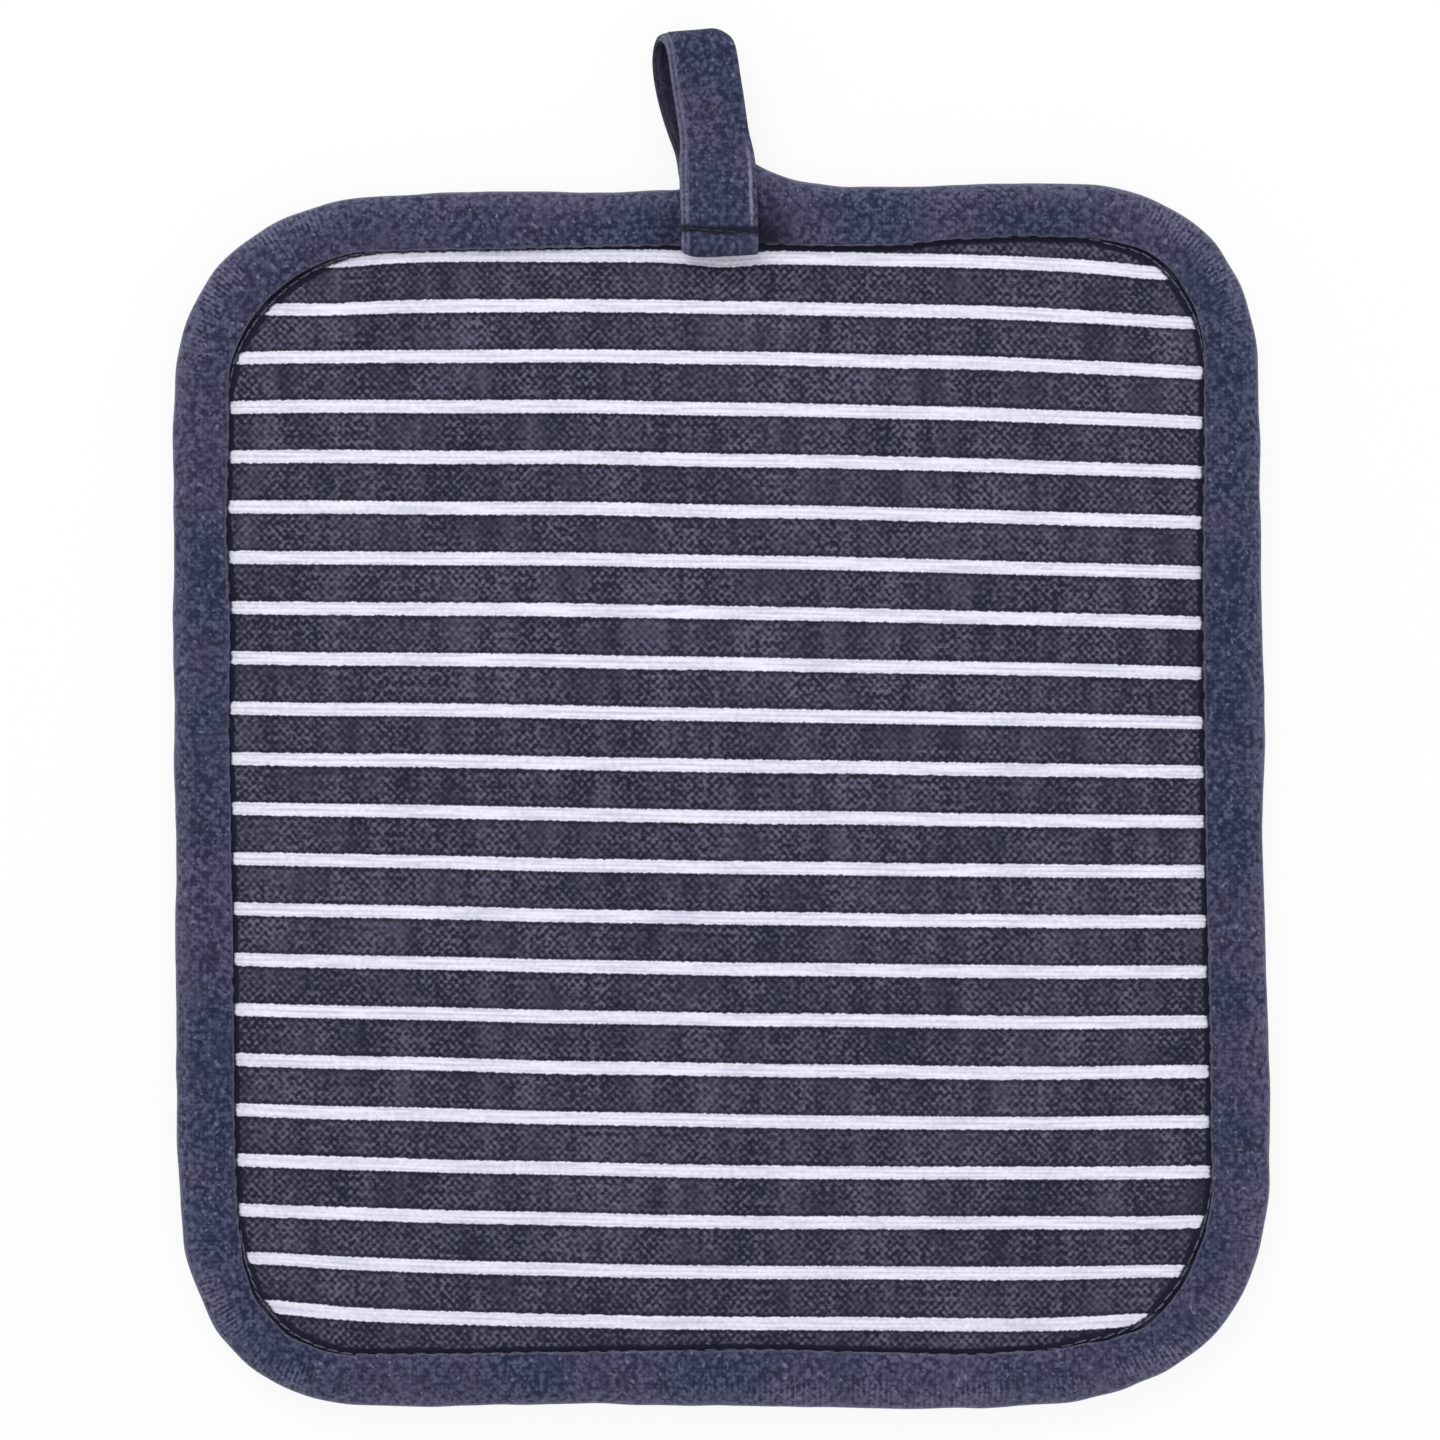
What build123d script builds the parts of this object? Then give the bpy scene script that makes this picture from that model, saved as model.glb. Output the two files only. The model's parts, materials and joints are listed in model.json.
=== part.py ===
from build123d import *
import os
from math import asin, cos, pi, radians, sin, sqrt

# A padded pot holder that lies flat: +Z is up through its thickness, +Y points to the hanging loop.
# The origin is the centre of its underside. All lengths are in millimetres.

# pad outline, measured over the binding
pad_width = 200.0
pad_length = 223.5
corner_radius = 34.0

# cloth and wadding
cloth_thickness = 0.7
wadding_edge_thickness = 1.1   # each layer, pressed flat in the binding
wadding_loft = 3.5             # each layer, free in the middle of the pad
ply_clearance = 0.05           # between neighbouring layers
panel_edge_clearance = 0.2     # between the layers' cut edge and the inside of the binding's roll
crown_run = 15.0               # how far from the ditch the pad swells to its full height

# bias binding, folded in four and wrapped round the edge
binding_width = 10.4           # seen on each face
binding_hem = 5.2              # turned under at each inner edge
binding_crown = 0.5            # the front band is this much lower at the ditch than at the roll

# sewing thread
thread_size = 0.45
thread_clearance = 0.08
back_seam_inset = 1.8          # the back seam, from the binding's inner edge

# hanging loop: the binding's tail, folded double and turned over to the front
tape_width = 14.0
tape_thickness = 1.5
tape_slit = 0.12               # between the tape's two halves, open along its left edge
tape_fold = 1.2                # solid folded edge on the right
loop_reach = 28.7              # beyond the pad's edge
loop_lean = 6.0                # degrees to the left
eye_height = 6.0               # clear height between the two legs at the round end
hinge_clearance = 0.45         # round the loop's root
edge_seam_inset = 1.9          # the loop's edge seam, from the tape's open edge

# the loop's sewn end on the front
end_reach = 12.4               # back from the pad's edge, over the binding
end_turn = 4.2                 # length turned under
end_tack = 8.4                 # tack line, back from the pad's edge
end_root_angle = 31.0          # degrees above the roll's middle where the sewn end stops
tack_stitches = 5
tack_stitch_length = 2.0
tack_pitch = 2.5

# the binding's tail, which climbs to the loop's root
tail_sweep = 12.0              # beyond the tape's right edge, along the pad's edge
tail_thickness = 1.5
tail_root = 0.55               # how deep it is joined into the wall of the roll

# worked out from the sizes above
stack_floor = 2 * cloth_thickness + 2 * ply_clearance
margin_steps = [cloth_thickness, wadding_edge_thickness, wadding_edge_thickness, cloth_thickness]
middle_steps = [cloth_thickness, wadding_loft, wadding_loft, cloth_thickness]
margin_height = sum(margin_steps) + 3 * ply_clearance
binding_height = margin_height + 2 * stack_floor + binding_crown
roll_radius = binding_height / 2
roll_room = sqrt((roll_radius - cloth_thickness) ** 2 - (roll_radius - stack_floor) ** 2)
panel_inset = roll_radius - roll_room + panel_edge_clearance
pad_edge = pad_length / 2
crown_start = binding_width + thread_size + 4 * thread_clearance
crown_end = crown_start + crown_run
loop_half_height = eye_height / 2 + tape_thickness
hinge_height = loop_half_height
strip_floor = binding_height + ply_clearance
strip_wrap = roll_radius + ply_clearance + tape_thickness / 2
hinge_edge = pad_edge - roll_radius + strip_wrap + tape_thickness / 2
hinge_y = hinge_edge + hinge_clearance + tape_thickness
free_reach = (pad_edge + loop_reach - hinge_y) / cos(radians(loop_lean))


def outline(inset):
    """The pad's outline, a rounded rectangle, moved in from its outer edge."""
    return RectangleRounded(pad_width - 2 * inset, pad_length - 2 * inset, corner_radius - inset)


def swept_round_edge(section):
    """Sweeps a section, drawn with x as the distance in from the outer edge, round the whole pad."""
    path = outline(0).wire()
    along = path % 0
    start = Plane(origin=path @ 0, x_dir=Vector(0, 0, 1).cross(along), z_dir=along)
    return sweep(start * section.face(), path=path)


def layer(number):
    """One ply of the pad: pressed thin at its margin and swelling to full loft inside the ditch."""
    low_edge = stack_floor + sum(margin_steps[:number]) + number * ply_clearance
    high_edge = low_edge + margin_steps[number]
    low_middle = sum(middle_steps[:number]) + number * ply_clearance
    high_middle = low_middle + middle_steps[number]
    border = Polyline(
        (panel_inset, low_edge),
        (crown_start, low_edge),
        (crown_end, low_middle),
        (crown_end, high_middle),
        (crown_start, high_edge),
        (panel_inset, high_edge),
        close=True,
    )
    margin = swept_round_edge(make_face(border))
    middle = Pos(0, 0, low_middle) * extrude(outline(crown_end), high_middle - low_middle)
    return margin + middle


def ring_at(inset, height, size):
    """A square-section ring laid along the outline."""
    return swept_round_edge(Pos(inset, height) * Rectangle(size, size))


def edge_binding():
    """The folded strip: hem, front band, roll, back band and hem, with the tail that feeds the loop."""
    flat = binding_width - roll_radius
    hem_start = flat - binding_hem
    gap_start = cloth_thickness
    gap_end = gap_start + ply_clearance
    fold = gap_end + cloth_thickness
    plies = [
        (0, gap_start),
        (flat - cloth_thickness, gap_start),
        (flat - cloth_thickness, gap_end),
        (hem_start, gap_end),
        (hem_start, fold),
        (flat, fold),
        (flat, 0),
        (0, 0),
    ]
    back = [(roll_radius + run, depth) for run, depth in plies]
    front = [
        (roll_radius + run, binding_height - depth - binding_crown * run / flat)
        for run, depth in plies
    ]
    inner_radius = roll_radius - cloth_thickness
    roll_inside = [
        (roll_radius - inner_radius * sin(angle), roll_radius + inner_radius * cos(angle))
        for angle in (0, pi / 4, pi / 2, 3 * pi / 4, pi)
    ]
    section = [
        Polyline(*front),
        Polyline(*roll_inside),
        Polyline(*back),
        ThreePointArc(back[-1], (0, roll_radius), front[-1]),
    ]
    band = swept_round_edge(make_face(section))
    groove = ring_at(binding_width - back_seam_inset, 0, 2 * (thread_size + 2 * thread_clearance))
    return band - groove + tail()


def tail():
    """The binding's end leaves the roll on the right and sweeps up to the back leg of the loop."""
    left = -tape_width / 2
    right = tape_width / 2
    seat = pad_edge - tail_root
    sweep_end = (right + tail_sweep, seat)
    plan = [
        Line((left, seat), (left, hinge_edge)),
        Line((left, hinge_edge), (right, hinge_edge)),
        TangentArc(sweep_end, (right, hinge_edge), tangent=(-1, 0)),
        Line(sweep_end, (left, seat)),
    ]
    return Pos(0, 0, hinge_height - tail_thickness / 2) * extrude(make_face(plan), tail_thickness)


def loop_plane():
    """The loop's own section plane, through the hinge line and leaning to the left."""
    return Plane(
        origin=(0, hinge_y, hinge_height),
        x_dir=(-sin(radians(loop_lean)), cos(radians(loop_lean)), 0),
        z_dir=(cos(radians(loop_lean)), sin(radians(loop_lean)), 0),
    )


def across(section, left, right):
    """Extrudes a section of the loop across the tape, between two places on its width."""
    face = loop_plane() * section
    return Pos(left, 0, 0) * extrude(face, right - left, dir=(1, 0, 0))


def loop_middle_line(offset_out=0.0):
    """The teardrop midway through the tape, or further out: front leg, round end and back leg."""
    root = tape_thickness / 2 + offset_out
    end = loop_half_height - tape_thickness / 2 + offset_out
    turn = free_reach - loop_half_height
    spread = asin((end - root) / turn)
    front_root = (-root * sin(spread), root * cos(spread))
    front_end = (turn - end * sin(spread), end * cos(spread))
    back_root = (front_root[0], -front_root[1])
    back_end = (front_end[0], -front_end[1])
    return [
        Line(front_root, front_end),
        ThreePointArc(front_end, (turn + end, 0), back_end),
        Line(back_end, back_root),
    ]


def hanging_loop():
    """The free loop: two plies joined along the right fold and open along the left edge."""
    half = tape_width / 2
    middle_line = loop_middle_line()
    root = Circle(tape_thickness)
    body = across(trace(middle_line, tape_thickness) + root, -half, half)
    slit = across(trace(middle_line, tape_slit) - root, -half, half - tape_fold)
    return body - slit - edge_seam(thread_clearance)


def loop_edge_thread():
    """The seam that closes the tape, sunk in the loop's outer face beside its open edge."""
    return edge_seam(0)


def edge_seam(clearance):
    """The seam's track round the outside of the loop, grown by a clearance on its hidden sides."""
    place = -tape_width / 2 + edge_seam_inset
    half = thread_size / 2 + clearance
    depth = thread_size + clearance
    face_line = loop_middle_line(tape_thickness / 2 - depth / 2)
    track = trace(face_line, depth) - Circle(tape_thickness + edge_seam_inset - clearance)
    return across(track, place - half, place + half)


def step_down(start, end):
    """Two equal tangent arcs between two points, level at both ends."""
    middle = ((start[0] + end[0]) / 2, (start[1] + end[1]) / 2)
    first = TangentArc(start, middle, tangent=(1, 0))
    return [first, TangentArc(middle, end, tangent=first % 1)]


def loop_end():
    """The front leg's end: wrapped over the roll, laid on the front band and turned under."""
    lay = strip_floor + tape_thickness / 2
    fold = (tape_thickness + ply_clearance) / 2
    fold_y = pad_edge - end_reach + tape_thickness / 2 + fold
    turned_y = fold_y + end_turn
    step_y = turned_y + 4 * ply_clearance
    roll_y = pad_edge - roll_radius
    root_angle = radians(end_root_angle)
    root = (roll_y + strip_wrap * cos(root_angle), roll_radius + strip_wrap * sin(root_angle))
    shoulder = radians((90 + end_root_angle) / 2)
    crest = (roll_y + strip_wrap * cos(shoulder), roll_radius + strip_wrap * sin(shoulder))
    line = [
        Line((turned_y, lay), (fold_y, lay)),
        ThreePointArc((fold_y, lay), (fold_y - fold, lay + fold), (fold_y, lay + 2 * fold)),
        Line((fold_y, lay + 2 * fold), (step_y, lay + 2 * fold)),
        *step_down((step_y, lay + 2 * fold), (roll_y, lay)),
        ThreePointArc((roll_y, lay), crest, root),
    ]
    side = Plane(origin=(-tape_width / 2, 0, 0), x_dir=(0, 1, 0), z_dir=(1, 0, 0))
    strip = extrude(side * trace(line, tape_thickness), tape_width)
    return strip - tack_row(2 * thread_clearance)


def tack_row(clearance):
    """The stitches across the loop's end, grown by a clearance to make their creases."""
    top = strip_floor + 2 * tape_thickness + ply_clearance
    length = tack_stitch_length + clearance
    size = thread_size + clearance
    first = -(tack_stitches - 1) / 2 * tack_pitch
    stitch = Pos(0, pad_edge - end_tack, top) * Box(length, size, size)
    return Compound([Pos(first + number * tack_pitch, 0, 0) * stitch for number in range(tack_stitches)])


nodes = {
    "front_panel": layer(3),
    "upper_wadding": layer(2),
    "lower_wadding": layer(1),
    "back_panel": layer(0),
    "edge_binding": edge_binding(),
    "ditch_seam_thread": ring_at(
        binding_width + thread_clearance + thread_size / 2,
        stack_floor + margin_height + thread_clearance + thread_size / 2,
        thread_size,
    ),
    "back_seam_thread": ring_at(binding_width - back_seam_inset, thread_size / 2, thread_size),
    "loop_end": loop_end(),
    "loop_tack_thread": tack_row(0),
    "hanging_loop": hanging_loop(),
    "loop_edge_thread": loop_edge_thread(),
}

os.makedirs("parts", exist_ok=True)
for name, shape in nodes.items():
    export_step(shape, f"parts/{name}.step")
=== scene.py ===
import bpy
import bmesh
import json
from math import atan2, cos, exp, hypot, pi, radians, sin, tanh
from mathutils import Matrix, Vector, noise
from mathutils.bvhtree import BVHTree
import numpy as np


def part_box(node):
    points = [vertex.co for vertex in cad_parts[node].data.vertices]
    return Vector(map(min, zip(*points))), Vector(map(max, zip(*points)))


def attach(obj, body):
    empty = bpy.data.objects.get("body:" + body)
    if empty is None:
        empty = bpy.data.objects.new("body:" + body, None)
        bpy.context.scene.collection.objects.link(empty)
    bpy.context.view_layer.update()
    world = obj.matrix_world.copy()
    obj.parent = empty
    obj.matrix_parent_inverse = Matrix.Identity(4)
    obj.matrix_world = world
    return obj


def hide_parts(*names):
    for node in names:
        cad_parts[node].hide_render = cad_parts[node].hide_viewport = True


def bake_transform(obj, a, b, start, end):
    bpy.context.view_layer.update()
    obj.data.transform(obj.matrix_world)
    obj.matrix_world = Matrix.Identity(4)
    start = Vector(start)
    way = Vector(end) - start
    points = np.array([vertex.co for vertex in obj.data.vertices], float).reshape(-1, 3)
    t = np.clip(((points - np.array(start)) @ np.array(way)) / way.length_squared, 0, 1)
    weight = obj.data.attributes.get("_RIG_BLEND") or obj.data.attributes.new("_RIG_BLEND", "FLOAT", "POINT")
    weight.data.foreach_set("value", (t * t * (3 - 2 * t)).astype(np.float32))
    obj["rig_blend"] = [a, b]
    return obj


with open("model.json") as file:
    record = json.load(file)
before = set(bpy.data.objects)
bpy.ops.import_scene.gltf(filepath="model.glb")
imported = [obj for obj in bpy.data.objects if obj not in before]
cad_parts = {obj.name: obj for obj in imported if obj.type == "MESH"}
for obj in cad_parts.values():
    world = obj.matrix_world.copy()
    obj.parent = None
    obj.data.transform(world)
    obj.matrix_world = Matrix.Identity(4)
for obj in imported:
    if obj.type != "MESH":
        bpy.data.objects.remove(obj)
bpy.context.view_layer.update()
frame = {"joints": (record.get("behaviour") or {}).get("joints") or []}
print("frame loaded")

mm = 0.001
scene = bpy.context.scene
bindingLow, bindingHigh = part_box("edge_binding")
hinge = Vector(frame["joints"][0]["pos_m"])

# the pad's outline over its binding, before the sewing pulls it a little out of true
pad = {
    "halfWidth": bindingHigh.x,
    "halfLength": -bindingLow.y,
    "radii": {"topLeft": 39.5 * mm, "bottomLeft": 32 * mm, "bottomRight": 43.5 * mm, "topRight": 33 * mm},
    "ditch": 10.5 * mm,  # the seam, in from the outer edge
    # distance round the outline from the top's middle, and how far the sewing pulls the edge out there, in mm
    "pulls": [
        (0, 0.1), (24, -0.2), (46, 0.1), (62, -0.5), (72, -0.3), (84, 0.3), (94, 0.8), (104, 0.3), (112, -0.4),
        (120, -0.9), (130, -0.4), (150, -0.4), (175, -0.2), (205, -0.1), (240, 0.0), (250, 0.2), (266, 0.0),
        (278, -0.6), (288, -1.0), (297, -0.3), (305, 0.3), (318, 0.2), (336, 0.5), (352, 0.15), (372, -0.3),
        (398, -0.3), (424, 0.1), (438, -0.3), (450, -1.2), (460, -1.25), (468, -0.8), (476, -0.1), (486, 0.5),
        (498, 0.4), (510, -0.2), (522, -0.1), (540, 0.2), (556, -0.4), (585, -0.5), (598, -0.1), (632, -0.55),
        (652, -0.5), (664, -0.6), (673, -0.75), (682, -0.3), (690, 0.3), (700, 0.1), (714, 0.0), (735, 0.4),
        (748, 0.05), (758, 0.1), (765, 0.5), (775, 0.4),
    ],
    # the same for how far the binding's lip sits in from its usual place, in mm
    "lips": [
        (0, 0.0), (40, 0.3), (62, 0.5), (76, 0.3), (92, 0.2), (108, 0.0), (116, 0.3), (125, 0.6), (135, 0.3),
        (145, -0.1), (160, 0.4), (180, 0.0), (235, 0.2), (254, 0.1), (270, 0.4), (278, 1.1), (286, 0.5),
        (297, -0.6), (308, -1.2), (322, -1.2), (340, -0.95), (360, -0.45), (377, 0.0), (399, 0.5), (424, 0.15),
        (436, 0.05), (450, 0.8), (461, 1.1), (468, 0.2), (477, -1.1), (488, -0.5), (500, 0.3), (512, 0.5),
        (530, 0.55), (590, 0.9), (612, 1.0), (640, 0.7), (652, 0.35), (668, 0.2), (680, -0.4), (697, -1.2),
        (709, -0.3), (717, -0.6), (726, -0.85), (740, -0.5), (750, 0.5), (762, 0.4), (775, 0.0),
    ],
    "lean": 0.0115,  # the lower end sits this much to the right
    "flare": 0.0125,  # the right side is longer than the left
    "width": 0.9965,
    "length": 0.9946,
    "shift": Vector((0.3 * mm, -0.1 * mm, 0)),
}
# each corner and the signs of x and y there, in the order in which the outline meets them
corners = [("topLeft", -1, 1), ("bottomLeft", -1, -1), ("bottomRight", 1, -1), ("topRight", 1, 1)]


def handMade(point):
    # the pad is cut and sewn by hand, so its outline isn't square
    x, y, z = point
    side = max(-1.2, min(1.2, y / pad["halfLength"]))
    x = (x - pad["lean"] * y) * pad["width"]
    return Vector((x, y * pad["length"] + pad["flare"] * x * side, z)) + pad["shift"]


def smooth(low, high, value):
    t = max(0.0, min(1.0, (value - low) / (high - low)))
    return t * t * (3 - 2 * t)


def bell(value, centre, spread):
    return exp(-((value - centre) / spread) ** 2)


def ripple(place, size, seed):
    # a smooth random value from -1 to 1 that changes over a length
    return noise.noise(Vector((place / size, seed * 7.31, 0.37)))


def sheetRipple(x, y, size, seed):
    return noise.noise(Vector((x / size, y / size, seed * 5.17)))


def stretches():
    # the outline as straight runs and corners, from the top's middle round to the left
    w, h = pad["halfWidth"], pad["halfLength"]
    topLeft, bottomLeft, bottomRight, topRight = [pad["radii"][name] for name, sx, sy in corners]
    sides = [
        (w - topLeft, Vector((-1, 0, 0)), Vector((0, h, 0))),
        (2 * h - topLeft - bottomLeft, Vector((0, -1, 0)), Vector((-w, h - topLeft, 0))),
        (2 * w - bottomLeft - bottomRight, Vector((1, 0, 0)), Vector((-w + bottomLeft, -h, 0))),
        (2 * h - bottomRight - topRight, Vector((0, 1, 0)), Vector((w, -h + bottomRight, 0))),
        (w - topRight, Vector((-1, 0, 0)), Vector((w - topRight, h, 0))),
    ]
    rows = []
    at = 0.0
    for number, (length, along, start) in enumerate(sides):
        rows.append({"kind": "side", "at": at, "length": length, "along": along, "start": start})
        at += length
        if number < len(corners):
            name, sx, sy = corners[number]
            radius = pad["radii"][name]
            length = radius * pi / 2
            centre = Vector((sx * (w - radius), sy * (h - radius), 0))
            rows.append({"kind": "corner", "at": at, "length": length, "radius": radius, "centre": centre,
                         "sx": sx, "sy": sy, "turn": pi / 2 * (number + 1)})
            at += length
    return rows, at


edge, perimeter = stretches()


def onEdge(along, inset):
    # the place at a distance along the outline and in from it, with the direction of the edge there
    along = along % perimeter
    row = [r for r in edge if r["at"] <= along][-1]
    run = along - row["at"]
    if row["kind"] == "side":
        inward = Vector((0, 0, 1)).cross(row["along"])
        return row["start"] + row["along"] * run + inward * inset, row["along"]
    angle = row["turn"] + run / row["radius"]
    outward = Vector((cos(angle), sin(angle), 0))
    return row["centre"] + outward * (row["radius"] - inset), Vector((-sin(angle), cos(angle), 0))


def edgePlace(x, y):
    # the distance along the outline and in from it, of a place on the pad
    w, h = pad["halfWidth"], pad["halfLength"]
    for row in edge:
        if row["kind"] == "corner":
            dx, dy = x - row["centre"].x, y - row["centre"].y
            if dx * row["sx"] >= 0 and dy * row["sy"] >= 0:
                angle = (atan2(dy, dx) - row["turn"]) % (2 * pi)
                return row["at"] + min(angle, pi / 2) * row["radius"], row["radius"] - hypot(dx, dy)
    insets = {"top": h - y, "left": w + x, "bottom": h + y, "right": w - x}
    nearest = min(insets, key=insets.get)
    inset = insets[nearest]
    if nearest == "top":
        return (-x) % perimeter, inset
    row = edge[{"left": 2, "bottom": 4, "right": 6}[nearest]]
    run = (Vector((x, y, 0)) - row["start"]).dot(row["along"])
    return row["at"] + max(0.0, min(run, row["length"])), inset


def roundness(along):
    # 0 on the straight runs, rising to 1 in the middle of each corner
    for row in edge:
        if row["kind"] == "corner" and row["at"] <= along <= row["at"] + row["length"]:
            share = (along - row["at"]) / row["length"]
            return max(0.0, sin(pi * share))
    return 0.0


def between(table, along):
    # a value read smoothly from one of the pad's tables
    along = along % perimeter / mm
    rows = table + [(perimeter / mm, table[0][1])]
    for (start, low), (end, high) in zip(rows, rows[1:]):
        if start <= along <= end:
            return (low + (high - low) * smooth(start, end, along)) * mm
    return table[0][1] * mm


def lipShift(along):
    return between(pad["lips"], along)


def newObject(name, bm):
    mesh = bpy.data.meshes.new(name)
    bm.to_mesh(mesh)
    bm.free()
    for face in mesh.polygons:
        face.use_smooth = True
    made = bpy.data.objects.new(name, mesh)
    scene.collection.objects.link(made)
    return made


def thicken(made, thickness, levels=0):
    shell = made.modifiers.new("Thickness", "SOLIDIFY")
    shell.thickness = thickness
    shell.offset = 0.0
    if levels:
        soft = made.modifiers.new("Softening", "SUBSURF")
        soft.levels = levels
        soft.render_levels = levels


def placed(x, y, z, origin):
    # a matrix from three directions and a place
    return Matrix.Translation(origin) @ Matrix((x, y, z)).transposed().to_4x4()


def spun(bm, geom, centre, axis, angle, steps):
    made = bmesh.ops.spin(bm, geom=geom, cent=centre, axis=axis, dvec=(0, 0, 0), angle=angle, steps=steps,
                          use_duplicate=False, use_merge=False)
    return [g for g in made["geom_last"] if isinstance(g, bmesh.types.BMEdge)]


def drawOn(bm, chain, count, move):
    # a section goes on in a straight line
    for number in range(count):
        point = bmesh.ops.extrude_vert_indiv(bm, verts=[chain[-1]])["verts"][0]
        point.co += move / count
        chain.append(point)


def foldOver(bm, chain, count, centre, axis, angle):
    # a section goes on round a fold
    spun(bm, [chain[-1]], centre, axis, angle, count)
    bm.verts.ensure_lookup_table()
    chain.extend(bm.verts[-count:])


def measured(chain, layer):
    # each point keeps its distance along the section
    length = 0.0
    for number, v in enumerate(chain):
        if number:
            length += (v.co - chain[number - 1].co).length
        v[layer] = length
    return length


def nextRing(bm, ring):
    # the points and edges that extruding a ring of edges makes
    made = bmesh.ops.extrude_edge_only(bm, edges=ring)["geom"]
    verts = [g for g in made if isinstance(g, bmesh.types.BMVert)]
    known = set(verts)
    edges = [g for g in made if isinstance(g, bmesh.types.BMEdge)]
    return verts, [e for e in edges if e.verts[0] in known and e.verts[1] in known]


def surfaceOf(made):
    return BVHTree.FromObject(made, bpy.context.evaluated_depsgraph_get())


# materials, written as Python expressions on sockets
def maths(operation):
    # a method that adds one maths node
    def method(self, *others):
        return self.finish.node("ShaderNodeMath", {"operation": operation}, self, *others)
    return method


class Value:
    # a number, colour or vector inside a material
    def __init__(self, finish, socket):
        self.finish = finish
        self.socket = socket

    __add__ = __radd__ = maths("ADD")
    __mul__ = __rmul__ = maths("MULTIPLY")
    __sub__ = maths("SUBTRACT")
    __truediv__ = maths("DIVIDE")
    power = maths("POWER")
    sine = maths("SINE")
    fraction = maths("FRACT")
    size = maths("ABSOLUTE")

    def __rsub__(self, other):
        return (self * -1) + other

    def step(self, low, high):
        settings = {"interpolation_type": "SMOOTHSTEP"}
        return self.finish.node("ShaderNodeMapRange", settings, self, low, high, 0.0, 1.0)


class Finish:
    def __init__(self, name):
        self.material = bpy.data.materials.new(name)
        self.material.use_nodes = True
        self.tree = self.material.node_tree
        self.shader = self.tree.nodes["Principled BSDF"]

    def node(self, kind, settings, *inputs, out=0, **named):
        made = self.tree.nodes.new(kind)
        for key, value in settings.items():
            setattr(made, key, value)
        for place, value in list(enumerate(inputs)) + list(named.items()):
            if value is None:
                continue
            socket = made.inputs[place]
            if isinstance(value, Value):
                self.tree.links.new(value.socket, socket)
            else:
                socket.default_value = value
        return Value(self, made.outputs[out])

    def onCloth(self):
        # the place on the cloth as it was woven
        return self.node("ShaderNodeUVMap", {"uv_map": "weave"})

    def onObject(self):
        return self.node("ShaderNodeTexCoord", {}, out=3)

    def split(self, vector):
        # the first two parts of a vector
        return [self.node("ShaderNodeSeparateXYZ", {}, vector, out=part) for part in (0, 1)]

    def painted(self, name):
        # a value kept on the piece's points
        return self.node("ShaderNodeAttribute", {"attribute_name": name}, out=2)

    def clouds(self, vector, size, detail=1.0, roughness=0.5):
        values = {"Vector": vector, "Scale": 1 / size, "Detail": detail, "Roughness": roughness}
        return self.node("ShaderNodeTexNoise", {"noise_dimensions": "3D"}, **values)

    def stretched(self, vector, scale, turn=0.0):
        return self.node("ShaderNodeMapping", {}, vector, Scale=scale, Rotation=(0, 0, turn))

    def blend(self, factor, first, second):
        unused = [None] * 5
        return self.node("ShaderNodeMix", {"data_type": "RGBA"}, factor, *unused, first, second, out=2)

    def bump(self, height, distance, strength=1.0):
        return self.node("ShaderNodeBump", {}, Height=height, Distance=distance, Strength=strength)

    def plug(self, socket, value):
        if isinstance(value, Value):
            self.tree.links.new(value.socket, self.shader.inputs[socket])
        else:
            self.shader.inputs[socket].default_value = value

    def clothSheen(self):
        self.plug("Specular IOR Level", 0.15)
        self.plug("Sheen Weight", 0.06)


def tint(red, green, blue):
    # a screen colour of 0 to 255, as Blender wants it
    def linear(c):
        c = c / 255
        return c / 12.92 if c <= 0.04045 else ((c + 0.055) / 1.055) ** 2.4
    return (linear(red), linear(green), linear(blue), 1.0)


stripes = {
    "pitch": 9.27 * mm,
    "width": 2.35 * mm,
    "first": 99.3 * mm,  # the top stripe's place up the pad
    "tilt": 1.16 * mm,  # each stripe drops this much from the middle to the right edge
    "belly": 1.05 * mm,  # how far the crown of the pad bows the end stripes outwards
    "white": tint(236, 236, 250),
    "whiteShade": tint(203, 203, 224),
    "cord": 1.6 * mm,  # the fine lines along each white stripe
    "dark": tint(21, 21, 40),
    "light": tint(103, 102, 124),
    "green": tint(52, 60, 76),
    "violet": tint(66, 60, 84),
    "deep": tint(22, 22, 38),
    # painted shade for the seam's ditch
    "ditch": tint(24, 23, 44),
    # places where the stripes are drawn down (+) or up (-): x, y, reach and move in mm
    "drawn": [
        (-72, 97, 11, 0.9), (80, 95, 9, 0.6), (77, -95, 10, -0.6), (-82, -92, 10, -0.9), (0.5, 98.5, 6, 0.9),
    ],
    # sizes of the weave's specks, yarns, streaks and blotches
    "speckAcross": 1.43 * mm,
    "speckAlong": 1.5 * mm,
    "grain": 0.92 * mm,
    "yarn": 0.62 * mm,
    "fuzz": 0.75 * mm,
    "streak": 4 * mm,
    "cloud": 9 * mm,
    "tone": 23 * mm,
}


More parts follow.
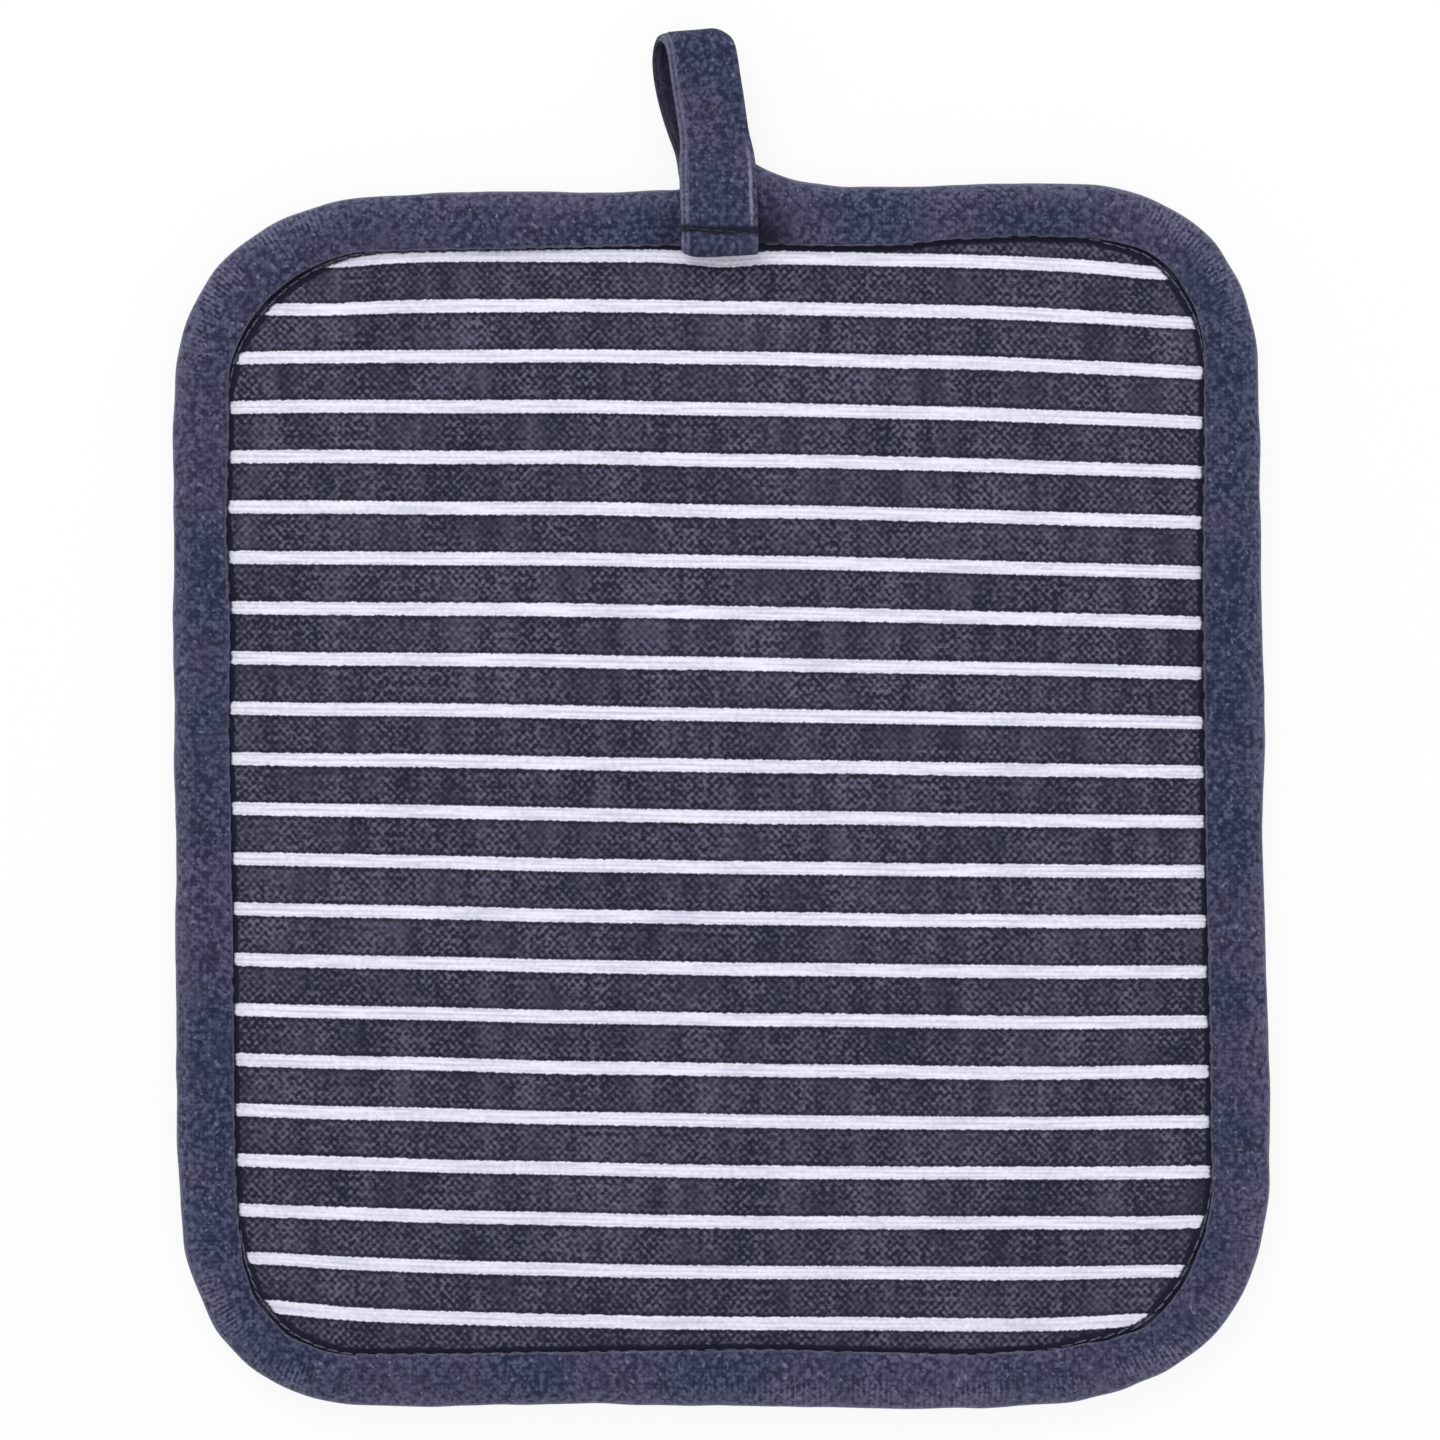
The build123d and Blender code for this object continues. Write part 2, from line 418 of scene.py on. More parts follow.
def stripedCloth():
    cloth = Finish("stripedCloth")
    place = cloth.onCloth()
    u, v = cloth.split(place)
    away = cloth.painted("away")
    corner = cloth.painted("corner")
    cloud = cloth.clouds(place, stripes["cloud"], 2.0)
    tone = cloth.clouds(cloth.stretched(place, (1, 1, 1), 0.6), stripes["tone"])
    grain = cloth.clouds(place, stripes["grain"])
    yarn = cloth.clouds(cloth.stretched(place, (0.05, 1.0, 1.0)), stripes["yarn"])
    fuzz = cloth.clouds(cloth.stretched(place, (1.0, 0.7, 1.0)), stripes["fuzz"])
    # the warp threads differ a little, so faint streaks run down the cloth
    streak = cloth.clouds(cloth.stretched(place, (1.0, 0.15, 1.0)), stripes["streak"], 2.0)
    # small light specks where a pale yarn comes up, each row shifted half a step
    across = (u * (2 * pi / stripes["speckAcross"])).sine()
    along = (v * (2 * pi / stripes["speckAlong"])).sine()
    lattice = across * along
    lively = ((cloud - 0.5) * 3.0 + 0.95).step(-0.4, 1.9) * 1.4
    speck = (lattice * 0.38 + (grain - 0.5) * 2.0 + (yarn - 0.5) * 0.6) * lively
    speck = speck + (tone - 0.5) * 0.3 + (streak - 0.5) * 0.85 + 0.385
    ground = cloth.blend(speck.step(-0.2, 1.15).power(1.5), stripes["dark"], stripes["light"])
    hue = cloth.blend(tone.step(0.40, 0.60), stripes["green"], stripes["violet"])
    ground = cloth.blend(0.14, ground, hue)
    # distance from the middle of the nearest stripe, with a slightly ragged edge
    fromStripe = ((v + stripes["pitch"] / 2) / stripes["pitch"]).fraction() - 0.5
    offStripe = fromStripe.size() * stripes["pitch"] + (fuzz - 0.5) * (0.55 * mm)
    half = stripes["width"] / 2
    inStripe = 1 - offStripe.step(half - 0.16 * mm, half + 0.16 * mm)
    beside = 1 - offStripe.step(half + 0.3 * mm, half + 0.95 * mm)
    ground = cloth.blend(beside * 0.6, ground, stripes["deep"])
    cords = (fromStripe * (2 * pi * stripes["pitch"] / stripes["cord"])).sine().power(2.0)
    pale = cords * 0.5 + (yarn - 0.5) * 2.4 + (grain - 0.5) * 1.5 + 0.35
    white = cloth.blend(pale, stripes["whiteShade"], stripes["white"])
    colour = cloth.blend(inStripe, ground, white)
    # painted shade in the seam's ditch, wider where the lip pulls back round a corner
    reach = (corner * 1.0 + 0.95 - inStripe * 0.65) * mm
    ditch = 1 - (away + (grain - 0.5) * (0.7 * mm) - reach).step(-0.2 * mm, 0.3 * mm)
    cloth.plug("Base Color", cloth.blend(ditch * 0.97, colour, stripes["ditch"]))
    cloth.plug("Roughness", 0.86 + (grain - 0.5) * 0.12)
    cloth.clothSheen()
    height = lattice * 0.35 + grain * 0.8 + yarn * 0.3 + inStripe * 0.5
    cloth.plug("Normal", cloth.bump(height, 0.16 * mm, 0.6))
    return cloth.material


chambray = {
    "dark": tint(26, 28, 52),
    "light": tint(90, 92, 120),
    # rubbed cloth, made lighter still as a painted highlight on the binding's rim
    "wornAndLit": tint(112, 111, 138),
    # the pale colour of the neps, and of the painted highlights on the folded edges and rim
    "lip": tint(150, 148, 172),
    # painted shade in the creases, the ditch and inside the loop
    "deep": tint(24, 24, 42),
    "green": tint(48, 60, 88),
    "violet": tint(72, 62, 92),
    # sizes of the weave's threads, flecks and blotches
    "weave": 1.05 * mm,
    "dot": 0.95 * mm,
    "mottle": 1.05 * mm,
    "slub": 0.72 * mm,
    "fleck": 0.62 * mm,
    "nep": 0.9 * mm,
    "cloud": 8 * mm,
    "tone": 19 * mm,
    "rimThread": 1.0 * mm,
}


def chambrayCloth(name, follows, wearAndHighlight, edgeLines, creaseShades=()):
    # the wear band along the strip is rubbed cloth and, on the binding's rim, also a painted highlight; the edge
    # lines along it are painted highlights and the creases across it are painted shade
    cloth = Finish(name)
    u, v = cloth.split(cloth.onCloth())
    place = cloth.onObject() if follows == "object" else cloth.onCloth()
    bias = cloth.stretched(place, (1, 1, 1), radians(45))
    p, q = cloth.split(bias)
    mottle = cloth.clouds(bias, chambray["mottle"])
    warp = cloth.clouds(cloth.stretched(bias, (0.45, 1.0, 1.0)), chambray["slub"])
    weft = cloth.clouds(cloth.stretched(bias, (1.0, 0.45, 1.0)), chambray["slub"])
    flecks = cloth.clouds(bias, chambray["fleck"], 0.0)
    neps = cloth.clouds(bias, chambray["nep"], 0.0)
    cloud = cloth.clouds(place, chambray["cloud"], 2.0)
    tone = cloth.clouds(place, chambray["tone"])
    weave = (p * (2 * pi / chambray["weave"])).sine() * (q * (2 * pi / chambray["weave"])).sine()
    values = {"Vector": bias, "Scale": 1 / chambray["dot"], "Randomness": 0.75}
    dots = cloth.node("ShaderNodeTexVoronoi", {"feature": "F1"}, **values)
    lively = ((cloud - 0.5) * 2.4 + 1.0).step(-0.5, 1.9) * 1.5
    grain = weave * 0.10 + (0.45 - dots) * 1.1 + (mottle - 0.5) * 1.4
    grain = grain + (warp + weft - 1) * 1.0 + (flecks - 0.5) * 0.4
    mix = grain * lively + (tone - 0.5) * 0.5 + 0.46
    base = cloth.blend(mix.step(-0.2, 1.2).power(1.2), chambray["dark"], chambray["light"])
    hue = cloth.blend(tone.step(0.40, 0.60), chambray["green"], chambray["violet"])
    base = cloth.blend(0.24, base, hue)
    base = cloth.blend(neps.step(0.73, 0.80) * 0.32, base, chambray["lip"])
    # a rubbed band, which on the binding's rim is also a painted highlight
    centre, width, strength = wearAndHighlight
    rubAndHighlight = 1 - ((v - centre).size() + (cloud - 0.5) * (3 * mm)).step(0.0, width)
    base = cloth.blend(rubAndHighlight * mottle.step(0.30, 0.65) * strength, base, chambray["wornAndLit"])
    # pale threads that cross the rim where the strip is stretched round a corner
    threads = ((u * (2 * pi / chambray["rimThread"])).sine() + (flecks - 0.5) * 2.5).step(0.2, 1.0)
    threads = threads * cloth.painted("rim") * cloud.step(0.35, 0.6)
    base = cloth.blend(threads * 0.8, base, chambray["wornAndLit"])
    # painted highlights where the folded edges catch the light
    catches = (cloud * 0.8 + flecks * 0.8).step(0.3, 0.9)
    ragged = (mottle - 0.5) * (0.7 * mm)
    for centre, width, strength, start, end in edgeLines:
        line = 1 - ((v - centre).size() + ragged).step(width * 0.2, width)
        line = line * (u.step(start - 3 * mm, start + 2 * mm) - u.step(end - 3 * mm, end + 2 * mm))
        base = cloth.blend(line * strength * catches, base, chambray["lip"])
    # painted shade along the tack's crease
    for centre, width, strength in creaseShades:
        waver = (cloud - 0.5) * (2.2 * mm)
        line = 1 - ((u - centre + waver).size() + ragged).step(width * 0.4, width)
        base = cloth.blend(line * strength, base, chambray["deep"])
    # painted shade from the ditch attribute: in the ditch, beside the loop's sewn end and inside the loop
    cloth.plug("Base Color", cloth.blend(cloth.painted("ditch") * 0.85, base, chambray["deep"]))
    cloth.plug("Roughness", 0.88 + (mottle - 0.5) * 0.1)
    cloth.clothSheen()
    height = weave * 0.2 + mottle + (warp + weft) * 0.5 + flecks * 0.4
    cloth.plug("Normal", cloth.bump(height, 0.16 * mm, 0.6))
    return cloth.material


def threadFinish(name, dark, light):
    cloth = Finish(name)
    twist = cloth.clouds(cloth.stretched(cloth.onObject(), (1, 1, 1), radians(35)), 0.3 * mm)
    cloth.plug("Base Color", cloth.blend(twist.step(0.35, 0.65), dark, light))
    cloth.plug("Roughness", 0.7)
    cloth.plug("Normal", cloth.bump(twist, 0.05 * mm))
    return cloth.material


def waddingFinish():
    cloth = Finish("cottonWadding")
    lint = cloth.clouds(cloth.onObject(), 1.6 * mm, 4.0, 0.7)
    cloth.plug("Base Color", cloth.blend(lint.step(0.3, 0.7), tint(214, 208, 194), tint(236, 232, 222)))
    cloth.plug("Roughness", 0.95)
    cloth.plug("Normal", cloth.bump(lint, 0.5 * mm))
    return cloth.material


print("materials ready")

# the wadding, one cushion between the cloths
wadding = {
    "cell": 4 * mm,
    "inset": 3.2 * mm,  # its cut edge, inside the roll of the binding
    "marginLow": 2.3 * mm,
    "marginHigh": 4.45 * mm,
    "rest": 0.75 * mm,  # the underside of its middle
    "full": 7.75 * mm,  # the top of its middle
    "slope": 7.5 * mm,  # how soon it swells, in from the ditch
    "start": 0.35,  # share of the swell that it starts from
    "cornerCuts": 8,
    "frames": 20,
    "cloth": {
        "quality": 6,
        "mass": 0.25,
        "tension_stiffness": 20,
        "compression_stiffness": 20,
        "shear_stiffness": 8,
        "bending_stiffness": 2,
        "use_pressure": True,
        "uniform_pressure_force": 4.0,
        "vertex_group_mass": "seam",
    },
}


def swell(inset):
    return 1 - exp(-max(0.0, inset - pad["ditch"]) / wadding["slope"])


def waddingShape():
    bm = bmesh.new()
    w = pad["halfWidth"] - wadding["inset"]
    h = pad["halfLength"] - wadding["inset"]
    columns, rows = round(2 * w / wadding["cell"]), round(2 * h / wadding["cell"])
    bmesh.ops.create_grid(bm, x_segments=columns, y_segments=rows, size=1.0)
    bmesh.ops.scale(bm, verts=bm.verts, vec=(w, h, 1))
    for name, sx, sy in corners:
        radius = pad["radii"][name] - wadding["inset"]
        centre = Vector((sx * (w - radius), sy * (h - radius), 0))
        for step in range(1, wadding["cornerCuts"]):
            angle = radians(90 / wadding["cornerCuts"] * step)
            outward = Vector((sx * cos(angle), sy * sin(angle), 0))
            bmesh.ops.bisect_plane(bm, geom=bm.verts[:] + bm.edges[:] + bm.faces[:], dist=1e-7,
                                   plane_co=centre + outward * radius, plane_no=outward, clear_outer=True)
    lifted = bmesh.ops.extrude_face_region(bm, geom=bm.faces[:])["geom"]
    top = {v for v in lifted if isinstance(v, bmesh.types.BMVert)}
    for v in bm.verts:
        along, inset = edgePlace(v.co.x, v.co.y)
        grown = swell(inset - lipShift(along)) * wadding["start"]
        if v in top:
            v.co.z = wadding["marginHigh"] + (wadding["full"] - wadding["marginHigh"]) * grown
        else:
            v.co.z = wadding["marginLow"] - (wadding["marginLow"] - wadding["rest"]) * grown
    bmesh.ops.recalc_face_normals(bm, faces=bm.faces)
    return newObject("waddingPad", bm)


def inflate(made):
    # the wadding swells like a slack cushion, held by the seam all round
    held = made.vertex_groups.new(name="seam")
    rest = [v.co.copy() for v in made.data.vertices]
    places = [edgePlace(v.co.x, v.co.y) for v in made.data.vertices]
    insets = [inset - lipShift(along) for along, inset in places]
    held.add([number for number, inset in enumerate(insets) if inset < pad["ditch"] + 0.5 * mm], 1.0, "ADD")
    cloth = made.modifiers.new("Cloth", "CLOTH")
    for setting, value in wadding["cloth"].items():
        setattr(cloth.settings, setting, value)
    cloth.settings.effector_weights.gravity = 0
    cloth.point_cache.frame_start = 1
    cloth.point_cache.frame_end = wadding["frames"]
    for number in range(1, wadding["frames"] + 1):
        scene.frame_set(number)
    graph = bpy.context.evaluated_depsgraph_get()
    swollen = made.evaluated_get(graph).to_mesh()
    rises = [v.co.z - start.z for v, start in zip(swollen.vertices, rest)]
    made.evaluated_get(graph).to_mesh_clear()
    made.modifiers.clear()
    top, under = round(max(rises) / mm, 2), round(min(rises) / mm, 2)
    print("wadding: top rose", top, "mm, underside sank", under, "mm")
    # the swell stays within the pad's height
    roomUp = wadding["full"] - wadding["marginHigh"]
    roomDown = wadding["marginLow"] - wadding["rest"]
    middle = (wadding["marginLow"] + wadding["marginHigh"]) / 2
    for v, start, rise, inset in zip(made.data.vertices, rest, rises, insets):
        room = (roomUp if start.z > middle else roomDown) * (1 - swell(inset) * wadding["start"])
        v.co.z = start.z + room * tanh(rise / room)
    scene.frame_set(1)


waddingPad = waddingShape()
inflate(waddingPad)
print("wadding ready")

# the striped cloths, drawn over the wadding and gathered a little by the seam
cloths = {
    "thickness": 0.62 * mm,
    "clear": 0.12 * mm,  # between the cloth and the wadding
    "pucker": 0.30 * mm,  # gathers along the seam, how long each is and how far in they fade
    "puckerSize": 4.6 * mm,
    "puckerFade": 5.5 * mm,
    "backPucker": 0.4,  # share of the gathers that the back shows
    "slack": 0.35 * mm,  # soft waves in the middle of the front
    "slackSize": 34 * mm,
    "press": 0.7 * mm,  # how far the loop's sewn end presses the cloth down
    "pressAt": 99.5 * mm,
}


def quilt(v, inset, along, facing):
    # the gathers, waves and dents at one point of the cloth
    inside = max(0.0, inset - pad["ditch"])
    fade = exp(-inside / cloths["puckerFade"]) * smooth(pad["ditch"] - 1 * mm, pad["ditch"] + 2.2 * mm, inset)
    pucker = ripple(along, cloths["puckerSize"], 3 + facing) * cloths["pucker"] * fade
    raised = facing * (cloths["thickness"] / 2 + cloths["clear"])
    if facing < 0:
        v.co.z += raised + cloths["backPucker"] * pucker
        v.co.z = max(v.co.z, cloths["thickness"] / 2 + 0.02 * mm)
    else:
        slack = sheetRipple(v.co.x, v.co.y, cloths["slackSize"], 2 + facing) * cloths["slack"]
        slack *= smooth(0, 22 * mm, inside)
        near = hypot(v.co.x / (11 * mm), (v.co.y - cloths["pressAt"]) / (6 * mm))
        press = -cloths["press"] * exp(-near * near) * smooth(0, 3 * mm, inside + 1 * mm)
        v.co.z += raised + (pucker + slack + press)


def stripeLevel(x, y):
    # how far up the cloth a place was woven, so that the stripes bend as the sewing drew them
    across = x / (78.5 * mm)
    height = y / (100 * mm)
    level = y + (stripes["tilt"] + 0.15 * mm * height) * across + stripes["belly"] * height * across * across
    level += sheetRipple(x, y, 26 * mm, 9) * 0.22 * mm
    level += (0.66 + 0.42 * height - 0.27 * height * height) * mm
    level += smooth(0.55, 0.9, height) * (0.3 * across * across - 0.2 * across - 0.12) * mm
    level += (smooth(0.55, 0.9, -height) * 0.12 * across * across + smooth(0.85, 1.0, -height) * 0.25) * mm
    # the end stripes are drawn in at the corners, and down under the loop's sewn end
    for spotX, spotY, reach, move in stripes["drawn"]:
        near = hypot(x - spotX * mm, y - spotY * mm) / (reach * mm)
        level += move * mm * exp(-near * near)
    return level


def clothOver(pieceName, facing):
    bm = bmesh.new()
    bm.from_mesh(waddingPad.data)
    bm.normal_update()
    bmesh.ops.delete(bm, geom=[f for f in bm.faces if f.normal.z * facing < 0.3], context="FACES")
    bmesh.ops.subdivide_edges(bm, edges=bm.edges, cuts=1, use_grid_fill=True)
    for turn in range(2):
        inner = [v for v in bm.verts if not v.is_boundary]
        bmesh.ops.smooth_vert(bm, verts=inner, factor=0.5, use_axis_z=True)
    weave = bm.loops.layers.uv.new("weave")
    awayLayer = bm.verts.layers.float.new("away")
    cornerLayer = bm.verts.layers.float.new("corner")
    for v in bm.verts:
        along, inset = edgePlace(v.co.x, v.co.y)
        inset -= lipShift(along)
        v[awayLayer] = inset - pad["ditch"]
        v[cornerLayer] = roundness(along)
        quilt(v, inset, along, facing)
    for v in bm.verts:
        v.co = handMade(v.co)
    for face in bm.faces:
        for loop in face.loops:
            x, y, z = loop.vert.co
            drift = sheetRipple(x, y, 40 * mm, 11) * 0.5 * mm
            loop[weave].uv = (x + drift, stripeLevel(x, y) - stripes["first"])
    if facing < 0:
        bmesh.ops.recalc_face_normals(bm, faces=bm.faces)
    made = newObject(pieceName, bm)
    thicken(made, cloths["thickness"], levels=1)
    return made


frontCloth = clothOver("frontCloth", 1)
backCloth = clothOver("backCloth", -1)
for v in waddingPad.data.vertices:
    v.co = handMade(v.co)
striped = stripedCloth()
frontCloth.data.materials.append(striped)
backCloth.data.materials.append(striped)
waddingPad.data.materials.append(waddingFinish())
print("cloths ready")

# the bias binding, one strip folded in section and carried round the outline
binding = {
    "thickness": 0.6 * mm,
    "width": 10.4 * mm,
    "hem": 4.6 * mm,
    "rollRadius": 3.3 * mm,
    "frontDrop": 0.35 * mm,  # the front band sinks this much towards the lip
    "hemRise": 0.15 * mm,
    "foldGap": 0.03 * mm,
    "step": 1.5 * mm,
    "belly": 0.45 * mm,  # the front band's puff between the roll and the lip
    "crease": 0.30 * mm,  # fine creases beside the lip
    "wave": 0.28 * mm,  # longer ones across the band
    "wander": 0.35 * mm,  # how far the outer edge wanders, slowly and quickly
    "flutter": 0.14 * mm,
    "lipWander": 0.22 * mm,
    "tailReach": 4.6 * mm,  # where the strip's end leaves the edge for the loop
    # the strip is pulled tight along the foot too: place along the outline, spread and strength
    "tight": (425 * mm, 32 * mm, 0.7),
    # painted shade on the band on both sides of the loop's sewn end: x, spread and strength
    "shaded": [(9.9 * mm, 4.6 * mm, 1.15), (-9.0 * mm, 2.6 * mm, 0.7)],
    "shadedUp": (102.6 * mm, 4.6 * mm),
}


def foldedStrip(bm):
    # the strip's section, drawn by folding: back hem, back band, roll, front band, front hem
    layer = bm.verts.layers.float.new("across")
    half = binding["thickness"] / 2
    radius = binding["rollRadius"]
    hem = binding["hem"]
    bend = half + binding["foldGap"]
    lip = binding["width"] - 2 * half
    axis = (1, 0, 0)
    chain = bmesh.ops.create_vert(bm, co=Vector((0, lip - hem, half + 2 * bend)))["vert"]
    drawOn(bm, chain, 3, Vector((0, hem, 0)))
    foldOver(bm, chain, 4, (0, chain[-1].co.y, half + bend), axis, -pi)
    drawOn(bm, chain, 4, Vector((0, half + radius - lip, 0)))
    foldOver(bm, chain, 12, (0, half + radius, half + radius), axis, -pi)
    drawOn(bm, chain, 6, Vector((0, lip - half - radius, -binding["frontDrop"])))
    foldOver(bm, chain, 4, (0, chain[-1].co.y, chain[-1].co.z - bend), axis, -pi)
    drawOn(bm, chain, 3, Vector((0, -hem, binding["hemRise"])))
    return measured(chain, layer)


def bindingCloth():
    bm = bmesh.new()
    stripWidth = foldedStrip(bm)
    for v in bm.verts:
        v.co = Vector((0, pad["halfLength"] - v.co.y, v.co.z))
    ring = bm.edges[:]
    for row in edge:
        count = round(row["length"] / binding["step"])
        if row["kind"] == "side":
            for number in range(count):
                verts, ring = nextRing(bm, ring)
                bmesh.ops.translate(bm, verts=verts, vec=row["along"] * (row["length"] / count))
        else:
            whole = ring + list({v for e in ring for v in e.verts})
            ring = spun(bm, whole, row["centre"], (0, 0, 1), pi / 2, count)
    return bm, stripWidth


def weaveBinding(bm, acrossLayer):
    # the cloth's own place of each point: along the strip and across it
    weave = bm.loops.layers.uv.new("weave")
    alongAt = {v: edgePlace(v.co.x, v.co.y)[0] for v in bm.verts}
    for face in bm.faces:
        spots = [alongAt[loop.vert] for loop in face.loops]
        for loop in face.loops:
            along = alongAt[loop.vert]
            if max(spots) - min(spots) > perimeter / 2 and along < perimeter / 2:
                along += perimeter
            loop[weave].uv = (along, loop.vert[acrossLayer])


def rimAndShade(v, along, inset, onFront):
    # how tightly the strip is stretched round the rim, and the painted shade of the ditch and beside the sewn end
    place, spread, strength = binding["tight"]
    rim = max(roundness(along), strength * bell(along, place, spread))
    shade = smooth(binding["width"] - 0.25 * mm, binding["width"] - 0.05 * mm, inset)
    if v.co.y > 98 * mm and onFront:
        beside = sum(strength * bell(v.co.x, x, spread) for x, spread, strength in binding["shaded"])
        shade = max(shade, beside * bell(v.co.y, *binding["shadedUp"]))
    return rim * (1 - smooth(3.5 * mm, 7 * mm, inset)), shade


def shapeBinding(v, along, inset, onFront, onFrontBand):
    direction = onEdge(along, inset)[1]
    outward = Vector((direction.y, -direction.x, 0))
    inwards = smooth(binding["rollRadius"], binding["width"] - 0.5 * mm, inset)
    v.co += outward * (between(pad["pulls"], along) * (1 - inwards) - lipShift(along) * inwards)
    if onFront:
        height = ripple(along, 3.6 * mm, 5) * binding["crease"] * smooth(5 * mm, 10 * mm, inset)
        height += ripple(along + inset * 0.6, 8.5 * mm, 6) * binding["wave"]
        if onFrontBand:
            puff = smooth(2.0 * mm, 6.5 * mm, inset) * (1 - smooth(8.0 * mm, 10.3 * mm, inset))
            height += binding["belly"] * puff * (1 + 0.5 * ripple(along, 17 * mm, 4))
        v.co.z += height
    roll = ripple(along, 14 * mm, 7) * binding["wander"] + ripple(along, 5 * mm, 8) * binding["flutter"]
    v.co += outward * roll * (1 - smooth(0, 5 * mm, inset))
    v.co += outward * ripple(along, 6.5 * mm, 12) * binding["lipWander"] * smooth(6 * mm, 10 * mm, inset)
    # the strip's end leaves the edge and sweeps up to the loop
    if v.co.y > 90 * mm:
        x = v.co.x
        sweep = smooth(-6.4 * mm, -3.6 * mm, x) * max(0.0, min(1.0, (23 * mm - x) / (16 * mm))) ** 2.3
        v.co.y += binding["tailReach"] * sweep * (1 - smooth(0.5 * mm, 5.5 * mm, inset))
    v.co.z = max(v.co.z, binding["thickness"] / 2 + 0.01 * mm)


bm, stripWidth = bindingCloth()
print("binding", len(bm.verts), "points, strip", round(stripWidth / mm, 1), "mm wide")
# the ditch attribute holds painted shade
paintedShadeLayer = bm.verts.layers.float.new("ditch")
rimLayer = bm.verts.layers.float.new("rim")
acrossLayer = bm.verts.layers.float["across"]
weaveBinding(bm, acrossLayer)
for v in bm.verts:
    along, inset = edgePlace(v.co.x, v.co.y)
    onFront = v.co.z > binding["rollRadius"] + binding["thickness"] / 2
    v[rimLayer], v[paintedShadeLayer] = rimAndShade(v, along, inset, onFront)
    shapeBinding(v, along, inset, onFront, v[acrossLayer] > stripWidth / 2)
for v in bm.verts:
    v.co = handMade(v.co)
bmesh.ops.recalc_face_normals(bm, faces=bm.faces)
edgeBinding = newObject("edgeBinding", bm)
thicken(edgeBinding, binding["thickness"])
# painted highlights along folded edges: place across the strip, width and strength, from before its start to
# beyond its end
everywhere = (-1.0, 2.0)
bindingLines = [
    (stripWidth - binding["hem"] - 0.5 * mm, 0.45 * mm, 0.28, *everywhere),
    # the second is a painted highlight along the rim
    (stripWidth / 2, 2.4 * mm, 0.5, *everywhere),
]
# the rubbed rim, made lighter as a painted highlight
bindingWearAndHighlight = (stripWidth / 2, 6.5 * mm, 0.55)
edgeBinding.data.materials.append(chambrayCloth("bindingChambray", "object", bindingWearAndHighlight, bindingLines))
print("binding ready")

# the hanging loop, a tape folded double that turns over and is sewn down on the front
tape = {
    "width": 13.3 * mm,
    "ply": 0.72 * mm,
    "gap": 0.1 * mm,
    "seam": 1.9 * mm,  # the edge seam, in from the open edge
    "cells": 10,  # across each ply, and round the fold
    "foldCells": 5,
    "puff": 0.16 * mm,  # each ply swells this much between the seam and the fold
    "pinch": 0.10 * mm,  # and is drawn in this much at the seam
    "step": 1.1 * mm,
    "lean": 7.5,  # degrees
    "crest": 3.4 * mm,  # radius of the round shoulders at its far end
    "tack": 102.6 * mm,  # the tack's place up the pad, and how much it slopes
    "tackSlope": 0.09,
}
# the tape's middle line, in millimetres: tucked end, over the front band, round the top, back into the edge
tapeRoute = [
    (0.0, 103.4, 7.9), (0.0, 101.0, 7.85), (0.0, 99.3, 7.9), (0.0, 98.6, 8.7), (0.0, 99.3, 9.65),
    (0.0, 100.8, 9.75), (0.0, 101.8, 9.3), (-0.1, 102.6, 8.2), (-0.1, 103.5, 9.3), (-0.1, 105.4, 9.7),
    (-0.2, 108.9, 9.3), (-0.25, 112.2, 8.5), (-0.3, 116.6, 7.4), (-1.0, 121.6, 7.3), (-1.9, 127.6, 7.7),
    (-2.7, 133.6, 8.1), (-3.3, 138.0, 7.9), (-4.4, 139.6, 4.8), (-5.8, 138.2, 1.2), (-6.2, 133.8, 0.9),
    (-5.0, 127.6, 1.2), (-2.6, 121.0, 2.3), (-0.9, 116.6, 3.5), (-0.3, 112.6, 3.8), (-0.2, 109.0, 3.8),
]


def smoothRoute(points):
    # the points read along a smooth curve through the route
    data = bpy.data.curves.new("route", "CURVE")
    data.dimensions = "3D"
    spline = data.splines.new("NURBS")
    spline.points.add(len(points) - 1)
    for place, point in zip(spline.points, points):
        place.co = (point[0], point[1], point[2], 1)
    spline.use_endpoint_u = True
    spline.order_u = 4
    data.resolution_u = 12
    made = bpy.data.objects.new("route", data)
    scene.collection.objects.link(made)
    graph = bpy.context.evaluated_depsgraph_get()
    mesh = bpy.data.meshes.new_from_object(made.evaluated_get(graph))
    fine = [v.co * mm for v in mesh.vertices]
    bpy.data.objects.remove(made)
    kept = [fine[0]]
    for point in fine[1:]:
        if (point - kept[-1]).length > tape["step"]:
            kept.append(point)
    return kept


def alongRoute():
    # the tape's turn at each point of its route, and the distance along it
    matrices = []
    runs = [0.0]
    for number, point in enumerate(route):
        before, after = route[max(0, number - 1)], route[min(len(route) - 1, number + 1)]
        tangent = (after - before).normalized()
        angle = radians(tape["lean"]) * smooth(115 * mm, 122 * mm, point.y)
        angle *= 1 - 0.45 * smooth(130 * mm, 139 * mm, point.y)
        across = Vector((cos(angle), sin(angle), 0))
        across = (across - tangent * across.dot(tangent)).normalized()
        outward = across.cross(tangent)
        width = 1.09 - 0.11 * smooth(114.5 * mm, 121 * mm, point.y)
        matrices.append(placed(across * width, tangent, outward, point))
        if number:
            runs.append(runs[-1] + (point - before).length)
    return matrices, runs


